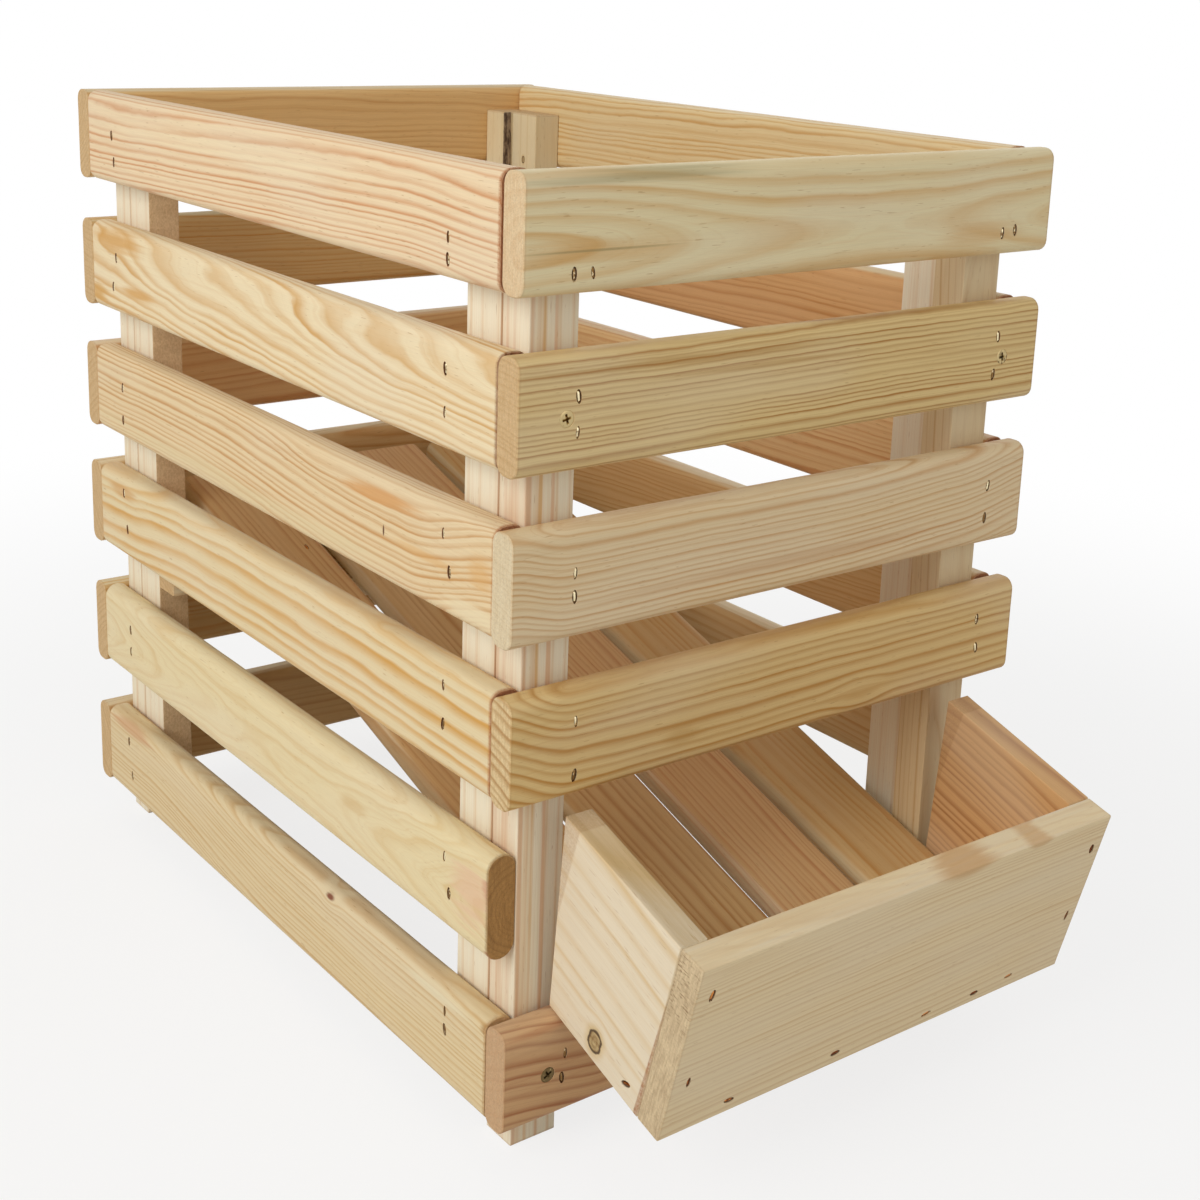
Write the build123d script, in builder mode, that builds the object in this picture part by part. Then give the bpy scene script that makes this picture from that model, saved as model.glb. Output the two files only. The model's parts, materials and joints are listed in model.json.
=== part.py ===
import os
from math import cos, radians, sin, tan

from build123d import *

# A slatted onion crate of planed pine, open at the top, with a hopper tray at the foot of its front.
# Millimetres, +Z up, the front looks towards -Y, and the origin is on the floor under the middle.

# Crate
crate_width = 300
crate_depth = 437
slat_height = 48.5
slat_thickness = 14.5
slat_round = 5.5                  # the planed long edges
full_round = 7.0                  # one slat is planed almost to a half circle
end_break = 0.6                   # the sawn ends are only eased
row_tops = {1: 428, 2: 357, 3: 286.5, 4: 216.5, 5: 142.5, 6: 66.5}
front_rows = (1, 2, 3, 4, 6)      # row 5 is left out at the front for the hopper's mouth
round_slat = "left_slat_5"
slat_shift = {"front_slat_1": 1.0, "front_slat_3": -1.0, "front_slat_6": 0.5}    # along the slat

# Posts, two at each corner: one belongs to the front or back panel, the other to the side panel
panel_post_width = 24
panel_post_depth = 19
side_post_width = 17.5
side_post_depth = 26
post_top = 413
post_break = 0.8

# Staples, of flat wire, driven just under the surface
crown_length = 6.4
leg_length = 25
wire_width = 1.0
wire_thickness = 0.7
crown_sink = 0.3
slot_length = 7.6
slot_width = 1.5
slot_depth = 1.1
lean_step = 4                     # the crowns lean a few degrees either way

# Screws that pull the front and back panels onto the side panels
screw_x = 126.5
screw_down = 26
screw_rows = (2, 6)
screw_length = 50
screw_radius = 2.0
head_radius = 4.0
head_sink = 0.2
cross_width = 1.1
cross_span = 4.6
cross_depth = 1.8

# Hopper tray, drawn along its own slope
tray_slope = 17.1
tray_shift = 1.5                  # the tray sits a little off the crate's middle
running_gap = 0.3
hopper_width = 245
board_thickness = 14
cheek_height = 90.5
cheek_back_bottom = 5.0           # along the slope, from where the tray passes over the lowest slat
cheek_back_top = 24.8
cheek_front_bottom = -60.9
cheek_front_top = -56.9
floor_front = -60.1
floor_rear = 427
floor_count = 4
floor_pitch = 55.8
batten_front = 321
batten_width = 36
batten_thickness = 14.5
bearer_height = 24
bearer_depth = 19

# Places of the crowns: along the slat from its middle, seen from outside, and down from its top edge
front_crowns = {
    1: [(-125, 40), (-116, 40), (119, 38), (127.5, 37)],
    2: [(-121, 17.5), (-121, 32), (122.5, 16), (121, 34)],
    3: [(-120, 20), (-120, 30), (124.5, 18.5), (124, 34.5)],
    4: [(-117.5, 14.5), (-117.5, 38.5), (125, 16.5), (126, 31.5)],
    6: [(-117.5, 18.5), (-119, 30), (120, 17), (120, 31)],
}
left_crowns = {
    1: [(167, 31), (167, 40), (-170, 36), (-172, 22)],
    2: [(166, 13.5), (166, 31.5), (-171, 17), (-176, 33.5)],
    3: [(166, 12.5), (171, 28), (-168, 18.5), (-168.5, 37)],
    4: [(167.5, 9), (167.5, 26.5), (-171, 10), (-167.5, 30.5)],
    5: [(170, 13), (174, 29), (-168, 17), (-168, 30)],
    6: [(172, 11), (172, 20), (-175.5, 12.5), (-172, 33)],
}
hidden_end_inset = 29             # the right and back slats carry a plain pair at each end
hidden_side_inset = 47
hidden_downs = (20, 35)           # clear of the screws, and below the posts' tops
board_end_crowns = [(-113.5, 75), (-113.5, 29), (116, 73), (116, 33)]
board_foot_crowns = [(-86, 6.5), (-25.5, 6.5), (31, 6), (63, 5.5), (86, 7)]
cheek_crown_y = -50
cheek_crown_z = 8.5
cheek_crown_lean = 30

# The hopper's front top edge is the foremost line of the part, the back slats the rearmost
slope_cos = cos(radians(tray_slope))
slope_sin = sin(radians(tray_slope))
glide = slat_round + running_gap
tray_foot_y = slat_round - glide * slope_sin
tray_foot_z = row_tops[6] - slat_round + glide * slope_cos
board_run = cheek_front_top - cheek_front_bottom
board_height = (board_run**2 + cheek_height**2) ** 0.5
board_out_y = -cheek_height / board_height * board_thickness
board_out_z = board_run / board_height * board_thickness
board_edge_y = cheek_front_top + board_out_y
board_edge_z = cheek_height + board_out_z
front_edge_y = tray_foot_y + board_edge_y * slope_cos - board_edge_z * slope_sin
origin_y = (front_edge_y + crate_depth) / 2

half_width = crate_width / 2
inner_width = half_width - slat_thickness
front_y = -origin_y
back_y = crate_depth - origin_y
post_foot = row_tops[6] - slat_height

# Each panel's outer face, with x along the slats, y up and z outwards
panels = {
    "front": Plane(origin=(0, front_y, 0), x_dir=(1, 0, 0), z_dir=(0, -1, 0)),
    "back": Plane(origin=(0, back_y, 0), x_dir=(-1, 0, 0), z_dir=(0, 1, 0)),
    "left": Plane(origin=(-half_width, (front_y + back_y) / 2, 0), x_dir=(0, -1, 0), z_dir=(-1, 0, 0)),
    "right": Plane(origin=(half_width, (front_y + back_y) / 2, 0), x_dir=(0, 1, 0), z_dir=(1, 0, 0)),
}
tray = Plane(
    origin=(tray_shift, front_y + tray_foot_y, tray_foot_z),
    x_dir=(1, 0, 0),
    z_dir=(0, -slope_sin, slope_cos),
)
board = Plane(
    origin=tray.from_local_coords((0, cheek_front_bottom, 0)),
    x_dir=(1, 0, 0),
    z_dir=tray.y_dir * (board_out_y / board_thickness) + tray.z_dir * (board_out_z / board_thickness),
)

side_length = crate_depth - 2 * slat_thickness
end_pair = half_width - hidden_end_inset
side_pair = crate_depth / 2 - hidden_side_inset
back_crowns = {row: [(x, down) for x in (-end_pair, end_pair) for down in hidden_downs] for row in row_tops}
right_crowns = {row: [(x, down) for x in (-side_pair, side_pair) for down in hidden_downs] for row in row_tops}
crowns = {"front": front_crowns, "back": back_crowns, "left": left_crowns, "right": right_crowns}

os.makedirs("parts", exist_ok=True)


def save(name, part):
    part.label = name
    export_step(part, f"parts/{name}.step")


def lean_of(index):
    return lean_step * (index * 2 % 5 - 2)


def crown_places(panel, row):
    """Locations of one slat's crowns: x across the wire, y along the crown, z out of the wood."""
    places = []
    for index, (x, down) in enumerate(crowns[panel][row]):
        lean = lean_of(index + row)
        places.append(panels[panel].location * Location((x, row_tops[row] - down, 0), (0, 0, lean)))
    return places


def screw_places(panel):
    return [
        panels[panel].location * Location((x, row_tops[row] - screw_down, 0))
        for row in screw_rows
        for x in (-screw_x, screw_x)
    ]


def make_slat(panel, row, length):
    name = f"{panel}_slat_{row}"
    side = panels[panel]
    shift = slat_shift.get(name, 0)
    start = side.from_local_coords((shift - length / 2, row_tops[row] - slat_height / 2, -slat_thickness / 2))
    edge_round = full_round if name == round_slat else slat_round
    with BuildPart() as slat:
        with BuildSketch(Plane(origin=start, x_dir=side.z_dir, z_dir=side.x_dir)):
            RectangleRounded(slat_thickness, slat_height, edge_round)
        extrude(amount=length)
        ends = slat.faces().filter_by(lambda face: abs(face.normal_at().dot(side.x_dir)) > 0.99)
        chamfer(ends.edges(), end_break)
        with Locations(*crown_places(panel, row)):
            Box(slot_width, slot_length, 2 * slot_depth, mode=Mode.SUBTRACT)
        if panel in ("front", "back") and row in screw_rows:
            with Locations(*screw_places(panel)):
                CounterSinkHole(screw_radius, head_radius, depth=slat_thickness, counter_sink_angle=90)
    save(name, slat.part)


def make_posts(end, hand):
    side = -1 if hand == "left" else 1
    inward = 1 if end == "front" else -1
    face_y = front_y + slat_thickness if end == "front" else back_y - slat_thickness
    seam_y = face_y + inward * panel_post_depth
    with BuildPart() as panel_post:
        with Locations((side * (inner_width - panel_post_width / 2), (face_y + seam_y) / 2, 0)):
            Box(panel_post_width, panel_post_depth, post_top, align=(Align.CENTER, Align.CENTER, Align.MIN))
        chamfer(panel_post.edges(), post_break)
    save(f"{end}_{hand}_post", panel_post.part)

    side_post_y = seam_y + inward * side_post_depth / 2
    with BuildPart() as side_post:
        with Locations((side * (inner_width - side_post_width / 2), side_post_y, post_foot)):
            Box(
                side_post_width, side_post_depth, post_top - post_foot,
                align=(Align.CENTER, Align.CENTER, Align.MIN),
            )
        chamfer(side_post.edges(), post_break)
    save(f"{end}_{hand}_side_post", side_post.part)


for row in front_rows:
    make_slat("front", row, crate_width)
for row in row_tops:
    make_slat("back", row, crate_width)
    make_slat("left", row, side_length)
    make_slat("right", row, side_length)
for end in ("front", "back"):
    for hand in ("left", "right"):
        make_posts(end, hand)

# The bearer across the back posts, under the tray's rear end
bearer_y = back_y - slat_thickness - panel_post_depth - side_post_depth - bearer_depth
bearer_top = tray_foot_z + (bearer_y - tray.origin.Y) * tan(radians(tray_slope)) - running_gap / slope_cos
with BuildPart() as rear_bearer:
    with Locations((0, bearer_y, bearer_top)):
        Box(
            2 * inner_width, bearer_depth, bearer_height,
            align=(Align.CENTER, Align.MIN, Align.MAX),
        )
    chamfer(rear_bearer.edges().filter_by(Axis.X), post_break)
save("rear_bearer", rear_bearer.part)

# One staple, its crown along y and its legs down -z, from the surface of the wood
crown_top = -crown_sink
with BuildPart() as staple:
    with BuildSketch(Plane.YZ):
        with Locations((0, crown_top)):
            Rectangle(crown_length, leg_length, align=(Align.CENTER, Align.MAX))
        with Locations((0, crown_top - wire_thickness)):
            Rectangle(
                crown_length - 2 * wire_thickness, leg_length,
                align=(Align.CENTER, Align.MAX), mode=Mode.SUBTRACT,
            )
    extrude(amount=wire_width / 2, both=True)

for panel, rows in crowns.items():
    with BuildPart() as panel_staples:
        for row in rows:
            with Locations(*crown_places(panel, row)):
                add(staple.part)
    save(f"{panel}_slat_staples", panel_staples.part)

bearer_face = Plane(origin=(0, bearer_y, bearer_top - bearer_height / 2), x_dir=(1, 0, 0), z_dir=(0, -1, 0))
bearer_crown_x = inner_width - side_post_width / 2
with BuildPart() as bearer_staples:
    with Locations(*[
        bearer_face.location * Location((side * bearer_crown_x, rise, crown_sink))
        for side in (-1, 1)
        for rise in (-5, 5)
    ]):
        add(staple.part)
save("bearer_staples", bearer_staples.part)

# One countersunk screw with a crossed recess, its head at z = 0 and its point down -z
head_depth = head_radius - screw_radius
with BuildPart() as screw:
    with BuildSketch(Plane.XZ):
        with BuildLine():
            Polyline(
                (0, -head_sink),
                (head_radius - head_sink, -head_sink),
                (screw_radius, -head_depth),
                (screw_radius, 2 * screw_radius - screw_length),
                (0, -screw_length),
                close=True,
            )
        make_face()
    revolve(axis=Axis.Z)
    with Locations((0, 0, -head_sink)):
        Box(cross_width, cross_span, 2 * cross_depth, mode=Mode.SUBTRACT)
        Box(cross_span, cross_width, 2 * cross_depth, mode=Mode.SUBTRACT)

for panel in ("front", "back"):
    with BuildPart() as panel_screws:
        with Locations(*screw_places(panel)):
            add(screw.part)
    save(f"{panel}_panel_screws", panel_screws.part)

# The hopper's two cheeks, cut from one board with a slanting back edge
cheek_places = {
    side: tray.location
    * Location((side * hopper_width / 2, cheek_crown_y, cheek_crown_z), (0, side * 90, 0))
    * Location((0, 0, 0), (0, 0, cheek_crown_lean))
    for side in (-1, 1)
}
for side, hand in ((-1, "left"), (1, "right")):
    outer_face = tray.from_local_coords((side * hopper_width / 2, 0, 0))
    with BuildPart() as cheek:
        with BuildSketch(Plane(origin=outer_face, x_dir=tray.y_dir, z_dir=(1, 0, 0))):
            with BuildLine():
                Polyline(
                    (cheek_back_bottom, 0),
                    (cheek_back_top, cheek_height),
                    (cheek_front_top, cheek_height),
                    (cheek_front_bottom, 0),
                    close=True,
                )
            make_face()
        extrude(amount=-side * board_thickness)
        chamfer(cheek.edges().filter_by(Axis.X, reverse=True), end_break)
        with Locations(cheek_places[side]):
            Box(slot_width, slot_length, 2 * slot_depth, mode=Mode.SUBTRACT)
    save(f"hopper_{hand}_cheek", cheek.part)

# The front board covers the cheeks' ends and carries upright crowns there, level ones along its foot
board_places = [
    board.location * Location((x, rise, board_thickness), (0, 0, lean_of(index)))
    for index, (x, rise) in enumerate(board_end_crowns)
]
board_places += [
    board.location * Location((x, rise, board_thickness), (0, 0, 90 + lean_of(index)))
    for index, (x, rise) in enumerate(board_foot_crowns)
]
with BuildPart() as hopper_front_board:
    with BuildSketch(board):
        Rectangle(hopper_width, board_height, align=(Align.CENTER, Align.MIN))
    extrude(amount=board_thickness)
    chamfer(hopper_front_board.edges(), end_break)
    with Locations(*board_places):
        Box(slot_width, slot_length, 2 * slot_depth, mode=Mode.SUBTRACT)
save("hopper_front_board", hopper_front_board.part)

# The tray's floor: slats from the front board up to the back, joined under their rear ends by a batten
floor_end = Plane(origin=tray.from_local_coords((0, floor_front, 0)), x_dir=(1, 0, 0), z_dir=tray.y_dir)
floor_xs = [floor_pitch * (index - (floor_count - 1) / 2) for index in range(floor_count)]
batten_middle = batten_front + batten_width / 2
floor_places = [
    tray.location * Location((x + step, batten_middle, slat_thickness), (0, 0, lean_of(index)))
    for index, x in enumerate(floor_xs)
    for step in (-slat_height / 4, slat_height / 4)
]
for index, x in enumerate(floor_xs):
    with BuildPart() as floor_slat:
        with BuildSketch(floor_end):
            with Locations((x, -slat_thickness / 2)):
                RectangleRounded(slat_height, slat_thickness, slat_round)
        extrude(amount=floor_rear - floor_front)
        with Locations(*floor_places[2 * index:2 * index + 2]):
            Box(slot_width, slot_length, 2 * slot_depth, mode=Mode.SUBTRACT)
    save(f"tray_floor_slat_{index + 1}", floor_slat.part)

floor_width = floor_pitch * (floor_count - 1) + slat_height
with BuildPart() as tray_batten:
    with BuildSketch(tray):
        with Locations((0, batten_front)):
            Rectangle(floor_width, batten_width, align=(Align.CENTER, Align.MIN))
    extrude(amount=-batten_thickness)
    chamfer(tray_batten.edges(), end_break)
save("tray_batten", tray_batten.part)

with BuildPart() as tray_staples:
    with Locations(*board_places, *floor_places, *cheek_places.values()):
        add(staple.part)
save("tray_staples", tray_staples.part)
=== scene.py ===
import json
import random
from math import atan2, cos, pi, radians, sin, sqrt

import bpy
from mathutils import Matrix, Vector


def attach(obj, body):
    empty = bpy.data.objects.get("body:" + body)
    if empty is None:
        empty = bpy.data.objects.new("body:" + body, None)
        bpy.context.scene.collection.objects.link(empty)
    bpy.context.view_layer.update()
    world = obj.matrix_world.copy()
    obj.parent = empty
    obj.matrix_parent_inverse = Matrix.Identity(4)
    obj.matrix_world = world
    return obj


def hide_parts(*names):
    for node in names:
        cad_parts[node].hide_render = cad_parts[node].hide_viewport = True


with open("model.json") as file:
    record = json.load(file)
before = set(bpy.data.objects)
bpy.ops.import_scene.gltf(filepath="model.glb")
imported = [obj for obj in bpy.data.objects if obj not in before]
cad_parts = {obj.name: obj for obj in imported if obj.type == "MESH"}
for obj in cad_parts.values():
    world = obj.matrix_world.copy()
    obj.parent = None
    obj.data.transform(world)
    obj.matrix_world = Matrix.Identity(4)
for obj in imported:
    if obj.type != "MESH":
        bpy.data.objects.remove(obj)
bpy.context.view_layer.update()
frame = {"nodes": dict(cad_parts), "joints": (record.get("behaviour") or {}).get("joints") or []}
print("frame loaded:", len(frame["nodes"]), "pieces")

mm = 0.001

# Camera and light

cameraSetup = {
    "place": (-0.5349, -0.7333, 0.5015),    # metres, off the crate's left front corner
    "heading": 37.56,                       # degrees from +Y towards +X
    "pitch": 14.43,                         # degrees below the horizon
    "roll": 2.05,
    "lens": 54.84,
    "shift": (-0.010, -0.133),
}

lightSetup = {
    "sky": 0.40,                            # strength of the even light all round
    "lamps": {
        "windowKey": {"place": (-2.2, -0.5, 1.5), "size": 1.6, "power": 37},
        "frontFill": {"place": (0.5, -2.6, 1.3), "size": 2.0, "power": 7},
        "farFill": {"place": (2.3, 1.7, 1.2), "size": 2.0, "power": 15},
    },
    "aim": (0, 0, 0.2),
}

floorSetup = {
    "radius": 4.0,
    "paint": "#E4E2DE",
    "lit": 0.80,                            # how far the camera sees the floor as plain white near the box
    "fade": (0.35, 1.1),                    # metres from the middle, over which it turns wholly white
}


def colour(text):
    # "#RRGGBB" as a picture shows it, to the linear values that shaders take
    shares = [int(text[place:place + 2], 16) / 255 for place in (1, 3, 5)]
    linear = [share / 12.92 if share <= 0.04045 else ((share + 0.055) / 1.055) ** 2.4 for share in shares]
    return (*linear, 1)


def setCamera():
    heading, pitch, roll = (radians(cameraSetup[name]) for name in ("heading", "pitch", "roll"))
    ahead = Vector((sin(heading) * cos(pitch), cos(heading) * cos(pitch), -sin(pitch)))
    levelRight = Vector((cos(heading), -sin(heading), 0))
    levelUp = levelRight.cross(ahead)
    right = levelRight * cos(roll) + levelUp * sin(roll)
    up = levelUp * cos(roll) - levelRight * sin(roll)
    data = bpy.data.cameras.new("photoCamera")
    data.lens = cameraSetup["lens"]
    data.shift_x, data.shift_y = cameraSetup["shift"]
    camera = bpy.data.objects.new("photoCamera", data)
    turn = Matrix((right, up, -ahead)).transposed()
    camera.matrix_world = Matrix.Translation(cameraSetup["place"]) @ turn.to_4x4()
    bpy.context.scene.collection.objects.link(camera)
    bpy.context.scene.camera = camera


# Shader and geometry sums, written as Python expressions

class Wire:
    # One output of a node. Sums of wires and numbers add the maths nodes they need
    def __init__(self, sheet, socket):
        self.sheet = sheet
        self.socket = socket

    def maths(self, operation, *values):
        return self.sheet.add("ShaderNodeMath", {"operation": operation}, dict(enumerate(values)))

    def vectorMaths(self, operation, *values, output=0):
        inputs = dict(enumerate(values))
        return self.sheet.add("ShaderNodeVectorMath", {"operation": operation}, inputs, output)

    def __add__(self, other):
        return self.maths("ADD", self, other)

    def __sub__(self, other):
        return self.maths("SUBTRACT", self, other)

    def __rsub__(self, other):
        return self.maths("SUBTRACT", other, self)

    def __mul__(self, other):
        return self.maths("MULTIPLY", self, other)

    def __truediv__(self, other):
        return self.maths("DIVIDE", self, other)

    def __rtruediv__(self, other):
        return self.maths("DIVIDE", other, self)

    __radd__ = __add__
    __rmul__ = __mul__

    def least(self, other):
        return self.maths("MINIMUM", self, other)

    def most(self, other):
        return self.maths("MAXIMUM", self, other)

    def limited(self):
        return self.most(0).least(1)

    def whole(self):
        return self.maths("FLOOR", self)

    def nearest(self):
        return self.maths("ROUND", self)

    def part(self):
        return self.maths("FRACT", self)

    def root(self):
        return self.maths("SQRT", self)

    def size(self):
        return self.maths("ABSOLUTE", self)

    def cosine(self):
        return self.maths("COSINE", self)

    def sine(self):
        return self.maths("SINE", self)

    def over(self, other):
        return self.maths("GREATER_THAN", self, other)

    def between(self, low, high):
        # 0 below low, 1 above high, and a soft step from one to the other
        return self.sheet.add("ShaderNodeMapRange", {"interpolation_type": "SMOOTHSTEP"}, {
            "Value": self, "From Min": low, "From Max": high,
        })

    def dot(self, other):
        return self.vectorMaths("DOT_PRODUCT", self, other, output="Value")

    def times(self, other):
        return self.vectorMaths("MULTIPLY", self, other)

    def scaled(self, amount):
        return self.sheet.add("ShaderNodeVectorMath", {"operation": "SCALE"}, {0: self, "Scale": amount})

    def split(self):
        first = self.sheet.add("ShaderNodeSeparateXYZ", inputs={0: self})
        return [Wire(self.sheet, socket) for socket in first.socket.node.outputs]


class Sheet:
    # A node tree while it is drawn up
    def __init__(self, tree):
        self.tree = tree

    def add(self, kind, settings=None, inputs=None, output=0):
        node = self.tree.nodes.new(kind)
        for name, value in (settings or {}).items():
            if name == "stops":
                self.setStops(node.color_ramp, value)
            else:
                setattr(node, name, value)
        for name, value in (inputs or {}).items():
            self.join(node.inputs[name], value)
        return Wire(self, node.outputs[output]) if node.outputs else node

    def join(self, socket, value):
        if isinstance(value, Wire):
            self.tree.links.new(value.socket, socket)
        elif isinstance(value, list):
            for wire in value:
                self.join(socket, wire)
        else:
            socket.default_value = value

    def setStops(self, ramp, stops):
        while len(ramp.elements) < len(stops):
            ramp.elements.new(1)
        for element, (place, value) in zip(ramp.elements, stops):
            element.position = place
            element.color = (value, value, value, 1)

    def combine(self, x, y, z):
        return self.add("ShaderNodeCombineXYZ", inputs={"X": x, "Y": y, "Z": z})

    def mixColours(self, share, first, second, blend="MIX"):
        settings = {"data_type": "RGBA", "blend_type": blend}
        return self.add("ShaderNodeMix", settings, {0: share, 6: first, 7: second}, 2)


def newMaterial(name):
    material = bpy.data.materials.new(name)
    material.use_nodes = True
    material.node_tree.nodes.clear()
    return material, Sheet(material.node_tree)


def finishMaterial(sheet, shader):
    sheet.add("ShaderNodeOutputMaterial", inputs={"Surface": shader})


# Pine. Lengths in its dictionaries are millimetres: u runs along a board, v across its face and w out of it,
# all from the board's middle

woodTones = {                               # pale early wood, and the darker lines of late wood
    "rose": ("#EBD3AC", "#CD9260"),
    "gold": ("#E8D8AC", "#D2A562"),
    "straw": ("#ECD9B2", "#CF9E58"),
    "honey": ("#E5CDA2", "#C48F50"),
    "amber": ("#E3D0A6", "#D09C4C"),
    "pale": ("#E0CFA8", "#CDB480"),
    "wheat": ("#E2CCA2", "#C2965C"),
    "ochre": ("#DFC084", "#B98338"),
    "brass": ("#E2C68A", "#A9742E"),
    "rust": ("#CDA476", "#9C5F33"),
    "tan": ("#D5A872", "#A76E3D"),
    "blond": ("#EAD5AC", "#C99F66"),
    "milk": ("#E6D7BC", "#D4B27A"),
    "flax": ("#E0CBA0", "#C79E62"),
    "lemon": ("#E6D4A8", "#D0A75F"),
    "post": ("#EFE5CC", "#D2A266"),
}

plainFigure = {
    "tone": "wheat",
    "pith": (-20, -70),                     # where the tree's heart lies, across and out of the board
    "lean": (0.0, 0.03),                    # how far the heart drifts, per millimetre along the board
    "bow": (0.0, 0.0),                      # and how far it curves, per 100 mm squared
    "ring": 3.4,                            # width of a year's growth
    "phase": 0.0,                           # where in a year's growth the rings begin, 0 to 1
    "uneven": 1.5,                          # how much the years differ, in rings
    "wander": 3.5,                          # how far the lines stray sideways
    "wave": 120,                            # length of a stray
    "ripple": (0.6, 22),                    # height and length of the small waves
    "late": 0.8,                            # strength of the late wood
    "late width": 0.5,                      # share of a ring that darkens
    "curls": (),                            # (from u, to u, lift): lines that bend near an end
    "patches": (),                          # (u, v, half length, half width, colour, strength)
    "knots": (),                            # (u, v, half length, half width, strength)
    "swirls": (),                           # (u, v, half length, half width): lines pushed round nothing
    "slits": (),                            # (u, v, half length, half width)
    "rough": (),                            # directions whose faces are rough from the saw
    "bark": (),                             # (direction, v, half width): a strip where the bark is left
    "seams": (),                            # (v, strength): painted shade lines in the gap beside a neighbour
    "ends": ("sandy", "sandy"),             # how the sawn end at -u looks, and the one at +u
    "inside": ("#FFFFFF", (0, 0, 1)),       # painted shade and warm bounce light on the face that looks this way, into the crate
}

endLooks = {                                # early and late wood, strength of the rings, shade, and the rim's
    "sandy": ("#DDBE90", "#BE955E", 0.5, 0.97, ("#A87B4A", 0.45, 1.7)),    # tint, strength and reach
    "peach": ("#E9D2AA", "#CDA270", 0.3, 0.99, ("#B07A4A", 0.4, 1.7)),
    "pale": ("#E6D6B4", "#C7AC80", 0.3, 1.0, ("#B98F5C", 0.35, 1.7)),
    "rosy": ("#D3B088", "#C89B70", 0.35, 0.95, ("#A5784F", 0.4, 1.7)),
    "ringed": ("#EDD6A6", "#B88C54", 0.85, 0.97, ("#A5763F", 0.4, 1.7)),
    "striped": ("#B98560", "#6B3B24", 1.0, 0.9, ("#7A4325", 0.7, 2.2)),
    # This end's rim is painted shade of the gap where it meets the next panel
    "seared": ("#B98560", "#8A5233", 0.6, 0.9, ("#A8602A", 0.95, 2.4)),
    "dark": ("#BC8F55", "#865E30", 0.5, 0.92, ("#7B5A33", 0.6, 2.0)),
    # This end's rim is painted shade of the gap where the cheek meets a post
    "seamed": ("#E6D6B4", "#C7AC80", 0.3, 1.0, ("#9A5A24", 0.95, 1.2)),
    "stroked": ("#E6D0A8", "#7A5230", 0.1, 0.97, ("#A98658", 0.4, 1.7)),
}

roughSawn = {
    "tint": "#F0D0A0",
    "dark": "#B88E5A",
    "share": 0.88,
}

barkTones = ("#4A3628", "#A38C70")
knotTones = {"halo": "#CBA862", "rim": "#3F2A18", "ring": "#8A6A40", "heart": "#C4AC7C"}
singleTones = {
    "slit": "#6B4526",
    "seam": "#A86F3C",                      # painted shade in the gap beside a neighbour
    "resin": "#A9773F",
    "cut": "#6E4826",                       # painted shade in the cuts round crowns and screw heads
}

grainNoise = {                              # length of a blot along u, v and w, detail, roughness and place
    "fade": ((70, 16, 16), 1.0, 0.5, 3.1),
    "fibre": ((16, 0.42, 0.42), 3.0, 0.6, 9.7),
    "streak": ((95, 2.8, 2.8), 2.0, 0.5, 5.3),
    "cloud": ((130, 30, 30), 1.0, 0.5, 1.9),
    "resin": ((6, 0.5, 0.5), 0.0, 0.5, 12.3),
    "speckle": ((0.9, 0.9, 0.9), 3.0, 0.7, 4.4),
    "saw": ((2, 7, 0.9), 2.0, 0.5, 6.1),
    "strokes": ((2, 0.7, 5), 2.0, 0.6, 2.7),
    "torn": ((1.1, 0.8, 0.8), 2.0, 0.7, 7.7),
    "grit": ((1.6, 0.9, 0.9), 4.0, 0.75, 8.2),
    "saw marks": ((2.4, 26, 26), 2.0, 0.5, 7.5),
    "lumps": ((9, 2.2, 2.2), 3.0, 0.7, 3.9),
}

traces = {                                  # where in its noise a trace begins and is full, and its strength
    "streak": (0.5, 0.8, 0.22),
    "fine": (0.45, 0.85, 0.2),
    "cloud": (0.42, 0.7, 0.22),
    "resin": (0.77, 0.84, 0.4),
    "strokes": (0.56, 0.66, 0.8),
}

faceTurn = {"end": (0.55, 0.85), "side": (0.5, 0.8)}    # how squarely a face looks a way, to belong to it
fineRing = 0.55                             # width of the finest lines
bumpHeight = {"Strength": 0.55, "Distance": 0.0003}


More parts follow.
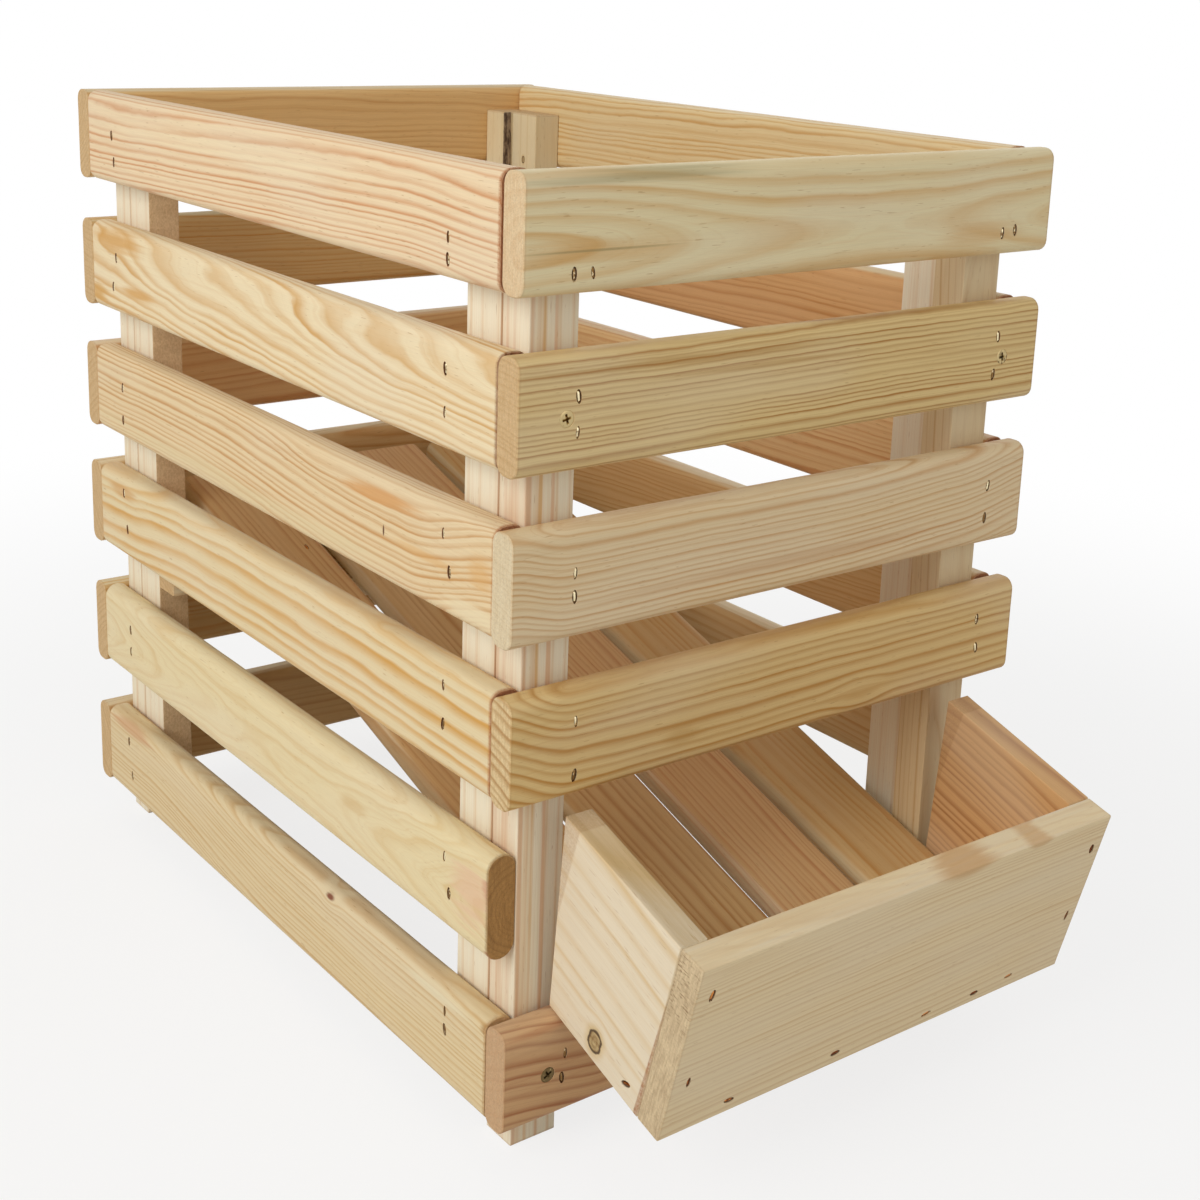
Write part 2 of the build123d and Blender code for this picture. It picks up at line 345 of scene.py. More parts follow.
class Grain:
    # What a board's wood is painted from: places along u, v and w, noise on them, and the rings of years
    def __init__(self, sheet, board, look):
        self.sheet, self.board, self.look = sheet, board, look
        self.reach = [board[side] / mm / 2 for side in ("length", "height", "thickness")]
        spot = sheet.add("ShaderNodeTexCoord", output="Object")
        self.facing = sheet.add("ShaderNodeTexCoord", output="Normal")
        self.u, self.v, self.w = (
            spot.dot(axis / mm) - board["middle"].dot(axis) / mm for axis in board["axes"]
        )
        self.seed = Vector([board["seed"] * share for share in (7.13, 3.71, 5.39)])
        self.spot = sheet.combine(self.u, self.v, self.w)
        self.fade, self.fibre, self.streak, self.speckle = (
            self.named(name) for name in ("fade", "fibre", "streak", "speckle")
        )

    def noise(self, lengths, detail=2.0, harsh=0.5, shift=0.0, output="Fac"):
        stretch = tuple(1 / length for length in lengths)
        place = self.spot.vectorMaths("MULTIPLY_ADD", self.spot, stretch, self.seed + Vector((shift,) * 3))
        inputs = {"Vector": place, "Scale": 1.0, "Detail": detail, "Roughness": harsh}
        return self.sheet.add("ShaderNodeTexNoise", {}, inputs, output)

    def named(self, name):
        return self.noise(*grainNoise[name])

    def trace(self, name, source=None):
        low, high, strength = traces[name]
        return (source or self.named(name)).between(low, high) * strength

    def lineNoise(self, place, detail=0.0):
        inputs = {"W": place, "Scale": 1.0, "Detail": detail}
        return self.sheet.add("ShaderNodeTexNoise", {"noise_dimensions": "1D"}, inputs)

    def ellipse(self, middleU, middleV, reachU, reachV):
        lengthwise = (self.u - middleU) / reachU
        sideways = (self.v - middleV) / reachV
        return (lengthwise * lengthwise + sideways * sideways).root()

    def looks(self, way, kind="side"):
        return self.facing.dot(Vector(way)).between(*faceTurn[kind])

    def mix(self, share, first, tint, blend="MIX"):
        return self.sheet.mixColours(share, first, colour(tint), blend)


def bentAcross(grain):
    # Lines bend near some ends, and part round knots and swirls
    look, u, v = grain.look, grain.u, grain.v
    bent = v
    for start, stop, lift in look["curls"]:
        bent = bent - u.between(start, stop) * lift
    parting, push = 3.2, 0.85
    for knotU, knotV, reachU, reachV, *_ in (*look["knots"], *look["swirls"]):
        near = grain.ellipse(knotU, knotV, reachU * parting, reachV * parting)
        bent = bent - (v - knotV) * (1 - near.between(0, 1)) * push
    return bent


def treeRings(grain):
    # How far a point lies from the tree's heart, and how dark its ring's late wood is there
    look, sheet, u = grain.look, grain.sheet, grain.u

    def blots(length):
        return length, length * 0.4, length * 0.4

    drift = grain.noise(blots(look["wave"]), 1.0, output="Color").split()
    stray = 2 * look["wander"]
    heartV, heartW = look["pith"]
    leanV, leanW = look["lean"]
    bowV, bowW = (bow / 100 ** 2 for bow in look["bow"])
    squared = u * u
    sideways = bentAcross(grain) - heartV - u * leanV - squared * bowV + (drift[0] - 0.5) * stray
    depth = grain.w - heartW - u * leanW - squared * bowW + (drift[1] - 0.5) * stray
    rippleHeight, rippleLength = look["ripple"]
    ripple = (grain.noise(blots(rippleLength)) - 0.5) * (2 * rippleHeight)
    radius = (sideways * sideways + depth * depth).root() + ripple

    yearsAlike = 3.3                        # rings, over which the years grow much the same
    uneven = grain.lineNoise(radius / (look["ring"] * yearsAlike) + grain.seed.x) - 0.5
    rings = radius / look["ring"] + uneven * look["uneven"] + look["phase"]
    ringTone = sheet.add("ShaderNodeTexWhiteNoise", {"noise_dimensions": "1D"}, {
        "W": rings.whole() + grain.seed.y,
    })
    lateStart = 1 - look["late width"]
    stops = [(0, 0.4), (0.11, 0), (lateStart, 0.05), (0.45 + lateStart * 0.55, 0.6), (0.89, 1), (1, 0.4)]
    lateShape = sheet.add("ShaderNodeValToRGB", {"stops": stops}, {"Fac": rings.part()})
    late = (lateShape * (ringTone * 0.7 + 0.4) * (grain.fade * 1.1 + 0.45)).least(1)
    return radius, late


def clearWood(grain, late, fine, resin):
    # Wood without faults: year rings, streaks and fine lines, with patches of other tones
    early, lateTone = woodTones[grain.look["tone"]]
    wood = grain.mix(late * grain.look["late"], colour(early), lateTone)
    wood = grain.mix(grain.trace("streak", grain.streak), wood, lateTone)
    wood = grain.mix(grain.trace("fine", fine), wood, lateTone)
    wood = grain.mix(grain.trace("cloud"), wood, woodTones["milk"][0])
    wood = grain.mix(resin, wood, singleTones["resin"])
    for patchU, patchV, reachU, reachV, tint, strength in grain.look["patches"]:
        reach = grain.ellipse(patchU, patchV, reachU, reachV)
        reach = reach + (grain.fade - 0.5) * 0.7 + (grain.streak - 0.5) * 1.3
        wood = grain.mix((1 - reach.between(0.35, 1.1)) * strength, wood, tint)
    return wood


def withFaults(grain, wood, crisp):
    # Knots, slits, and the painted shade of the seam beside a neighbour
    streak, fibre = grain.streak, grain.fibre
    for knotU, knotV, reachU, reachV, strength in grain.look["knots"]:
        reach = grain.ellipse(knotU, knotV, reachU, reachV) + (streak - 0.5) * 0.4 + (fibre - 0.5) * 0.12
        halo = (1 - reach.between(0.9, 2.0)) * (0.55 * strength)
        wood = grain.mix(halo, wood, knotTones["halo"])
        knotRings = ((reach * 2.4).part() - 0.5).size() + (fibre * 3.4 - 1.4).limited()
        knotColour = grain.mix(knotRings, colour(knotTones["heart"]), knotTones["ring"])
        inside = (1 - reach.between(0.82, 1.0)) * strength
        wood = grain.sheet.mixColours(inside, wood, knotColour)
        rim = (1 - (reach - 0.95).size().between(0.05, 0.2)) * (0.9 * strength)
        wood = grain.mix(rim, wood, knotTones["rim"])
        crisp = crisp - rim
    for slit in grain.look["slits"]:
        inside = 1 - grain.ellipse(*slit).between(0.6, 1.1)
        wood = grain.mix(inside, wood, singleTones["slit"])
        crisp = crisp - inside * 1.5
    # Painted shade of the narrow gap where this board stands against its neighbour
    for seamV, strength in grain.look["seams"]:
        line = (1 - (grain.v - seamV).size().between(0.35, 1.3)) * (streak * 0.6 + 0.5) * strength
        wood = grain.mix(line, wood, singleTones["seam"])
    return wood, crisp


def withEnds(grain, wood, height, late, fine):
    # Sawn ends: the rings seen across, fuzzed by the saw, with torn fibres along the rim; on some ends the
    # rim is painted shade of the gap where the end meets a neighbour
    saw = grain.named("saw")
    halfLength = grain.reach[0]
    onEnds = 0
    for side, endName in zip((-1, 1), grain.look["ends"]):
        early, dark, ringStrength, shade, (rimTint, rimStrength, rimReach) = endLooks[endName]
        onEnd = grain.looks(grain.board["axes"][0] * side, "end")
        endWood = grain.mix((late + fine * 0.12) * ringStrength, colour(early), dark)
        endWood = grain.mix((saw * 2.0 - 0.6).limited() * 0.5, endWood, dark)
        if endName == "stroked":
            endWood = grain.mix(grain.v.between(0, 25) * grain.trace("strokes"), endWood, dark)
        endWood = endWood.scaled(grain.speckle * 0.56 + (shade - 0.28))
        wood = grain.sheet.mixColours(onEnd, wood, endWood)
        near = (grain.u * side).between(halfLength - rimReach, halfLength - 0.5)
        torn = near * (1 - onEnd * 0.7) * (grain.named("torn") * 1.5 - 0.1).limited()
        # The rim: torn fibres, and on some ends painted shade of the gap beside a neighbour
        wood = grain.mix(torn * rimStrength, wood, rimTint)
        height = height - torn * 0.9
        onEnds = onEnds + onEnd
    return wood, height, onEnds, saw


def withSawnFaces(grain, wood, height):
    # Faces that came straight from the saw, and strips where the bark is left
    for way in grain.look["rough"]:
        onFace = grain.looks(way)
        grit, sawMarks = grain.named("grit"), grain.named("saw marks")
        roughness = (grit * 1.7 + sawMarks * 0.5 - 0.5).limited()
        sawn = grain.mix(roughness, colour(roughSawn["dark"]), roughSawn["tint"])
        wood = grain.sheet.mixColours(onFace * roughSawn["share"], wood, sawn)
        height = height + onFace * (grit * 1.6 + sawMarks * 0.8)
    for way, barkV, reach in grain.look["bark"]:
        onFace = grain.looks(way)
        lumps = grain.named("lumps")
        left = 1 - ((grain.v - barkV).size() + (grain.fade - 0.5) * 3).between(reach - 0.8, reach)
        bark = grain.mix(lumps.between(0.35, 0.65), colour(barkTones[0]), barkTones[1])
        wood = grain.sheet.mixColours(onFace * left, wood, bark)
        height = height + onFace * left * lumps * 3
    return wood, height


def withCutShade(grain, wood):
    # Painted shade in the cuts for crowns and screw heads, below the surface
    halfLength, halfHeight, halfThickness = grain.reach
    below = 1 - grain.w.between(halfThickness - 0.7, halfThickness - 0.25)
    flat = (halfHeight - grain.board["edge round"] - 0.5 - grain.v.size()).over(0)
    flat = flat * (halfLength - 2 - grain.u.size()).over(0)
    deep = below * flat * grain.w.over(halfThickness - 3.5)
    # Painted shade: the walls and floor of each cut darken
    return grain.mix(deep * 0.85, wood, singleTones["cut"])


def pineMaterial(name, board, figure):
    material, sheet = newMaterial(name)
    grain = Grain(sheet, board, plainFigure | figure)
    radius, late = treeRings(grain)
    fine = grain.lineNoise(radius / fineRing + grain.seed.z, 2.0)
    resin = grain.trace("resin")
    wood = clearWood(grain, late, fine, resin)
    wood, crisp = withFaults(grain, wood, grain.fibre - resin)
    tint, inward = grain.look["inside"]
    # Painted shade and warm bounce light: faces that look into the crate are multiplied darker and warmer
    wood = grain.mix(grain.looks(inward), wood, tint, "MULTIPLY")
    wood, height, onEnds, saw = withEnds(grain, wood, crisp * 0.5 + late * 0.25, late, fine)
    wood, height = withSawnFaces(grain, wood, height)
    if board["is cut"]:
        wood = withCutShade(grain, wood)
    wood = wood.scaled(grain.fibre * 0.16 + 0.92)
    height = height + onEnds * (grain.speckle * 3.2 + saw * 1.6)
    bump = sheet.add("ShaderNodeBump", {}, bumpHeight | {"Height": height})
    gloss = (0.66 - late * 0.1 + onEnds * 0.2 + (grain.fibre - 0.5) * 0.12).limited()
    finishMaterial(sheet, sheet.add("ShaderNodeBsdfPrincipled", {}, {
        "Base Color": wood, "Roughness": gloss, "Normal": bump, "Specular IOR Level": 0.35,
    }))
    return material


metalLooks = {                              # bright and tarnished colour, their roughness, and a blot's size
    "brassyWire": {"bright": "#EBDCB4", "dull": "#86643A", "roughness": (0.25, 0.5), "blot": 1.6},
    "rustyWire": {"bright": "#C8803C", "dull": "#74380F", "roughness": (0.35, 0.6), "blot": 1.4},
    "screwZinc": {"bright": "#BBA678", "dull": "#6E5B3A", "roughness": (0.3, 0.5), "blot": 1.8},
}

metalSurface = {
    "spread": 28,                           # over which one staple is duller than the next
    "tarnish": (0.4, 0.62),
    "scratch": 0.25,
    "bump": {"Strength": 0.4, "Distance": 0.00008},
}


def metalMaterial(name):
    look = metalLooks[name]
    material, sheet = newMaterial(name)
    spot = sheet.add("ShaderNodeTexCoord", output="Object")

    def noise(place, size, detail, **others):
        inputs = {"Vector": place, "Scale": 1 / (size * mm), "Detail": detail, **others}
        return sheet.add("ShaderNodeTexNoise", {}, inputs)

    blot = noise(spot, look["blot"], 3.0, Roughness=0.6)
    scratch = noise(spot.times((1, 1, 0.2)), metalSurface["scratch"], 2.0)
    wide = noise(spot, metalSurface["spread"], 0.0)
    tarnish = (blot + (wide - 0.5) * 0.9).between(*metalSurface["tarnish"])
    metal = sheet.mixColours(tarnish, colour(look["bright"]), colour(look["dull"]))
    low, high = look["roughness"]
    rough = tarnish * (high - low) + low + (scratch - 0.5) * 0.1
    bump = sheet.add("ShaderNodeBump", {}, metalSurface["bump"] | {"Height": scratch})
    finishMaterial(sheet, sheet.add("ShaderNodeBsdfPrincipled", {}, {
        "Base Color": metal, "Metallic": 1.0, "Roughness": rough, "Normal": bump,
    }))
    return material


# Stage

def seenDirectly(sheet):
    path = sheet.add("ShaderNodeLightPath")
    rays = [Wire(sheet, path.socket.node.outputs[name]) for name in (
        "Is Camera Ray", "Is Glossy Ray", "Is Transmission Ray",
    )]
    return (rays[0] + rays[1] + rays[2]).least(1)


def makeStage():
    floorMesh = bpy.data.meshes.new("paleFloor")
    corners = [
        (floorSetup["radius"] * cos(turn * pi / 32), floorSetup["radius"] * sin(turn * pi / 32), 0)
        for turn in range(64)
    ]
    floorMesh.from_pydata(corners, [], [tuple(range(64))])
    floor = bpy.data.objects.new("paleFloor", floorMesh)
    bpy.context.scene.collection.objects.link(floor)
    material, sheet = newMaterial("paleFloor")
    spot = sheet.add("ShaderNodeTexCoord", output="Object")
    away = spot.vectorMaths("LENGTH", spot, output="Value").between(*floorSetup["fade"])
    speck = sheet.add("ShaderNodeTexNoise", {}, {"Vector": spot, "Scale": 40.0, "Detail": 3.0})
    paint = sheet.mixColours(speck * 0.05, colour(floorSetup["paint"]), colour("#D6D3CD"))
    matt = sheet.add("ShaderNodeBsdfDiffuse", {}, {"Color": paint})
    white = sheet.add("ShaderNodeEmission", {}, {"Color": (1, 1, 1, 1), "Strength": 1.0})
    share = seenDirectly(sheet) * (away * (1 - floorSetup["lit"]) + floorSetup["lit"])
    finishMaterial(sheet, sheet.add("ShaderNodeMixShader", {}, {0: share, 1: matt, 2: white}))
    floorMesh.materials.append(material)

    world = bpy.data.worlds.new("studio")
    bpy.context.scene.world = world
    world.use_nodes = True
    world.node_tree.nodes.clear()
    sheet = Sheet(world.node_tree)
    seen = seenDirectly(sheet)
    sky = sheet.add("ShaderNodeBackground", {}, {
        "Color": (1, 1, 1, 1), "Strength": seen * (1 - lightSetup["sky"]) + lightSetup["sky"],
    })
    sheet.add("ShaderNodeOutputWorld", inputs={"Surface": sky})

    for name, lamp in lightSetup["lamps"].items():
        data = bpy.data.lights.new(name, "AREA")
        data.size = lamp["size"]
        data.energy = lamp["power"]
        place = Vector(lamp["place"])
        light = bpy.data.objects.new(name, data)
        light.location = place
        light.rotation_mode = "QUATERNION"
        light.rotation_quaternion = (Vector(lightSetup["aim"]) - place).to_track_quat("-Z", "Y")
        bpy.context.scene.collection.objects.link(light)


# Reading the frame

def corners(node):
    return [vertex.co for vertex in frame["nodes"][node].data.vertices]


def separateSolids(node):
    # The corners of each loose solid in a node
    mesh = frame["nodes"][node].data
    owner = {}

    def top(key):
        while owner[key] != key:
            owner[key] = owner[owner[key]]
            key = owner[key]
        return key

    keys = [tuple(round(value * 1e6) for value in vertex.co) for vertex in mesh.vertices]
    for key in keys:
        owner.setdefault(key, key)
    for face in mesh.polygons:
        first = top(keys[face.vertices[0]])
        for vertex in face.vertices[1:]:
            owner[top(keys[vertex])] = first
    groups = {}
    for key in sorted(set(keys)):
        groups.setdefault(top(key), []).append(Vector(key) * 1e-6)
    return list(groups.values())


def spanAlong(points, axis):
    reaches = [point.dot(axis) for point in points]
    return min(reaches), max(reaches)


def topOf(points, out):
    # The points that stand furthest out
    peak = spanAlong(points, out)[1]
    return [point for point in points if peak - point.dot(out) < 0.1 * mm]


def crownOf(points, out):
    # A staple's crown: its middle at the wire's top, and the direction it runs in
    top = topOf(points, out)
    middle = sum(top, Vector()) / len(top)
    first = max(top, key=lambda point: (point - middle).length)
    second = max(top, key=lambda point: (point - first).length)
    third = min(top, key=lambda point: (point - second).length if point != second else 1)
    return middle, (middle - (second + third) / 2).normalized()


def headOf(points, out):
    # A screw's head: its middle on the surface
    top = topOf(points, out)
    axes = Matrix.Identity(3)
    return sum((axis * sum(spanAlong(top, axis)) / 2 for axis in axes), Vector())


def readBoard(node, along, out, seed):
    # The size and place of a straight board, measured on its CAD solid along its own axes
    along, out = Vector(along).normalized(), Vector(out).normalized()
    across = out.cross(along)
    axes = (along, across, out)
    points = corners(node)
    spans = [spanAlong(points, axis) for axis in axes]

    # Ends that aren't square to the board lie this much further along on one long edge than on the other
    slides = []
    for pick in (min, max):
        ends = [
            pick(p.dot(along) for p in points if abs(p.dot(across) - edge) < 1.5 * mm)
            for edge in spans[1]
        ]
        slides.append(ends[1] - ends[0])
    start, stop = spans[0]
    spans[0] = (start + abs(slides[0]) / 2, stop - abs(slides[1]) / 2)
    middle = sum((axis * (low + high) / 2 for axis, (low, high) in zip(axes, spans)), Vector())
    length, height, thickness = (high - low for low, high in spans)
    slants = [slide / height for slide in slides]
    return {
        "axes": axes, "middle": middle, "seed": seed,
        "length": length, "height": height, "thickness": thickness, "slants": slants,
    }


# Boards, posts and slats

boardShape = {
    "edge round": {"slat": 5.5, "roundSlat": 7.0, "post": 0.6, "hopper": 0.7, "floor": 5.5},
    "end ease": 0.5,
    "row": 5.0,                             # length of one row of faces
    "wobble": {"slat": 0.22, "roundSlat": 0.3, "post": 0.2, "hopper": 0.12, "floor": 0.2},
    "dips": (22, 95, 95),                   # how quickly the surface wobbles along, across and out, per metre
    "arc steps": 5,
    "side steps": 6,
    "cap rings": 3,
}

sharpTurn = {"board": 28, "wire": 50, "screw": 40}      # degrees, from which an edge stays sharp
weld = 0.01 * mm                            # corners nearer than this are one

cutShape = {
    "Slot Length": 5.6,
    "Slot Width": 2.5,
    "Slot Depth": 1.4,
    "Sink Radius": 3.9,
    "Hole Radius": 2.0,
}

cutMesh = {
    "slot sides": 12,
    "hole sides": 24,
    "overlap": 0.2,
    "uneven": ((0.8, 0.95, 0.8), (1.25, 1.12, 1.15)),
    "seed": 4,
}


def treeWithInputs(name, sizes):
    # Every tree takes its points, its sizes and a material
    tree = bpy.data.node_groups.new(name, "GeometryNodeTree")
    kinds = {"Geometry": "Geometry", **dict.fromkeys(sizes, "Float"), "Material": "Material"}
    for label, kind in kinds.items():
        tree.interface.new_socket(label, in_out="INPUT", socket_type="NodeSocket" + kind)
    tree.interface.new_socket("Geometry", in_out="OUTPUT", socket_type="NodeSocketGeometry")
    sheet = Sheet(tree)
    source = tree.nodes.new("NodeGroupInput")
    return tree, sheet, {socket.name: Wire(sheet, socket) for socket in source.outputs if socket.name}


def closeTree(sheet, geometry, material):
    solid = sheet.add("GeometryNodeRealizeInstances", inputs={"Geometry": geometry})
    painted = sheet.add("GeometryNodeSetMaterial", inputs={"Geometry": solid, "Material": material})
    sheet.add("NodeGroupOutput", inputs={"Geometry": painted})


def smoothBelow(sheet, geometry, degrees):
    # Round faces shade smoothly, and edges that turn by more than this stay sharp
    turn = sheet.add("GeometryNodeInputMeshEdgeAngle", output="Unsigned Angle")
    soft = 1 - turn.over(radians(degrees))
    for domain, smooth in (("FACE", True), ("EDGE", soft)):
        geometry = sheet.add("GeometryNodeSetShadeSmooth", {"domain": domain}, {
            "Geometry": geometry, "Shade Smooth": smooth,
        })
    return geometry


def cutAway(sheet, mesh, cuts):
    return sheet.add("GeometryNodeMeshBoolean", {"operation": "DIFFERENCE", "solver": "EXACT"}, {
        "Mesh 1": mesh, "Mesh 2": cuts,
    }, "Mesh")


def namedValue(sheet, name, kind="FLOAT"):
    return sheet.add("GeometryNodeInputNamedAttribute", {"data_type": kind}, {"Name": name})


def plainBoard(sheet, given):
    # A sawn and planed board along X, its section rounded, its ends closed by shrinking rings
    arcSteps, sideSteps, capRings = (boardShape[name] for name in ("arc steps", "side steps", "cap rings"))
    quarterSteps = arcSteps + sideSteps
    around = 4 * quarterSteps
    rows = (given["Length"] / given["Row"]).nearest()
    grid = sheet.add("GeometryNodeMeshGrid", inputs={
        "Size X": rows + 2 * capRings, "Size Y": float(around),
        "Vertices X": rows + (2 * capRings + 1), "Vertices Y": around + 1,
    })
    place = sheet.add("GeometryNodeInputPosition").split()
    row = (place[0] + rows / 2 + capRings).nearest()
    step = (place[1] + around / 2).nearest()

    quarter = (step / quarterSteps + 0.001).whole()
    stepIn = step - quarter * quarterSteps
    turn = (stepIn / arcSteps).least(1)
    slide = 0.5 - ((stepIn - arcSteps).most(0) * (pi / sideSteps)).cosine() * 0.5
    angle = (quarter + turn) * (pi / 2)
    flatAcross = given["Height"] / 2 - given["Edge Round"]
    flatOut = given["Thickness"] / 2 - given["Edge Round"]

    def cornerSign(wave, quarters):
        return getattr(quarters * (pi / 2) + pi / 4, wave)() * sqrt(2)

    def sectionPoint(flat, wave):
        here = cornerSign(wave, quarter)
        level = here + (cornerSign(wave, quarter + 1) - here) * slide
        return flat * level + given["Edge Round"] * getattr(angle, wave)()

    across, out = sectionPoint(flatAcross, "cosine"), sectionPoint(flatOut, "sine")
    spine = (given["Height"] - given["Thickness"]) / 2
    spineAcross = across.least(spine).most(0 - spine)

    share = ((row - capRings) / rows).limited()
    ringIn = (capRings - row).most(row - rows - capRings).most(0)
    onCap = ringIn.least(1)
    easeShare = given["End Ease"] / (given["Thickness"] / 2)
    inset = onCap * (easeShare + (1 - easeShare) * (ringIn - 1).most(0) / (capRings - 1))
    endSide = share * 2 - 1
    along = endSide * (given["Length"] / 2 - given["End Ease"]) + onCap * endSide * given["End Ease"]
    acrossIn = across + (spineAcross - across) * inset
    outIn = out - out * inset
    slant = given["Start Slant"] + (given["End Slant"] - given["Start Slant"]) * share
    shape = sheet.combine(along + acrossIn * slant, acrossIn, outIn)
    board = sheet.add("GeometryNodeSetPosition", inputs={"Geometry": grid, "Position": shape})
    board = sheet.add("GeometryNodeMergeByDistance", inputs={"Geometry": board, "Distance": weld})
    board = sheet.add("GeometryNodeFlipFaces", inputs={"Mesh": board})
    normal = sheet.add("GeometryNodeInputNormal")
    level = sheet.add("GeometryNodeInputPosition")
    start = sheet.combine(given["Seed"], 0.0, 0.0)
    stretched = level.vectorMaths("MULTIPLY_ADD", level, boardShape["dips"], start)
    dip = sheet.add("ShaderNodeTexNoise", {}, {"Vector": stretched, "Scale": 1.0, "Detail": 3.0})
    lowered = normal.scaled(0 - dip * given["Wobble"])
    return sheet.add("GeometryNodeSetPosition", inputs={"Geometry": board, "Offset": lowered})


def boardCuts(sheet, given):
    # Crowns and screw heads stand in cuts of their own, at the points that the modifier is given
    isScrew = namedValue(sheet, "screw").over(0.5)
    slot = sheet.add("GeometryNodeMeshCylinder", inputs={
        "Vertices": cutMesh["slot sides"], "Radius": 0.5, "Depth": 1.0,
    }, output="Mesh")
    hole = sheet.add("GeometryNodeMeshCylinder", inputs={
        "Vertices": cutMesh["hole sides"], "Radius": given["Hole Radius"], "Depth": given["Thickness"] * 2.5,
    }, output="Mesh")
    sinkDepth = given["Sink Radius"] - given["Hole Radius"]
    overlap = cutMesh["overlap"] * mm
    sink = sheet.add("GeometryNodeMeshCone", inputs={
        "Vertices": cutMesh["hole sides"], "Depth": sinkDepth + overlap,
        "Radius Bottom": given["Hole Radius"] - overlap, "Radius Top": given["Sink Radius"],
    }, output="Mesh")
    sink = sheet.add("GeometryNodeTransform", inputs={
        "Geometry": sink, "Translation": sheet.combine(0.0, 0.0, weld - sinkDepth - overlap),   # a hair proud
    })

    def cutWith(shapeWire, selection, scale):
        placed = sheet.add("GeometryNodeInstanceOnPoints", inputs={
            "Points": given["Geometry"], "Selection": selection, "Instance": shapeWire,
            "Rotation": sheet.combine(0.0, 0.0, namedValue(sheet, "lean")), "Scale": scale,
        })
        return sheet.add("GeometryNodeRealizeInstances", inputs={"Geometry": placed})

    smallest, largest = cutMesh["uneven"]
    uneven = sheet.add("FunctionNodeRandomValue", {"data_type": "FLOAT_VECTOR"}, {
        0: smallest, 1: largest, "Seed": cutMesh["seed"],
    })
    slotSize = sheet.combine(given["Slot Width"], given["Slot Length"], given["Slot Depth"] * 2)
    cuts = [cutWith(slot, 1 - isScrew, slotSize.times(uneven))]
    return cuts + [cutWith(shape, isScrew, (1, 1, 1)) for shape in (hole, sink)]


def boardTree():
    sizes = ("Length", "Height", "Thickness", "Edge Round", "End Ease", "Row", "Start Slant", "End Slant")
    tree, sheet, given = treeWithInputs("sawnBoard", (*sizes, "Wobble", "Seed", *cutShape))
    board = cutAway(sheet, plainBoard(sheet, given), boardCuts(sheet, given))
    closeTree(sheet, smoothBelow(sheet, board, sharpTurn["board"]), given["Material"])
    return tree


def setInputs(piece, tree, values):
    modifier = piece.modifiers.new("shape", "NODES")
    modifier.node_group = tree
    names = {item.name: item.identifier for item in tree.interface.items_tree if item.in_out == "INPUT"}
    for name, value in values.items():
        modifier[names[name]] = value


def pointHolder(name, points, **attributes):
    mesh = bpy.data.meshes.new(name)
    mesh.from_pydata(points, [], [])
    for label, values in attributes.items():
        isVector = len(values) > 0 and isinstance(values[0], Vector)
        attribute = mesh.attributes.new(label, "FLOAT_VECTOR" if isVector else "FLOAT", "POINT")
        for item, value in zip(attribute.data, values):
            if isVector:
                item.vector = value
            else:
                item.value = value
    piece = bpy.data.objects.new(name, mesh)
    bpy.context.scene.collection.objects.link(piece)
    return piece


def makePlain(piece, placing=Matrix.Identity(4)):
    # The modifier's result becomes the piece's own mesh, in the frame's place
    graph = bpy.context.evaluated_depsgraph_get()
    mesh = bpy.data.meshes.new_from_object(piece.evaluated_get(graph))
    mesh.name = piece.name
    mesh.transform(placing)
    piece.modifiers.clear()
    piece.data = mesh


def pieceName(node):
    first, *rest = node.split("_")
    return first + "".join(word.capitalize() for word in rest)


# What each board looks like. Boards that aren't named get a figure drawn from their seed

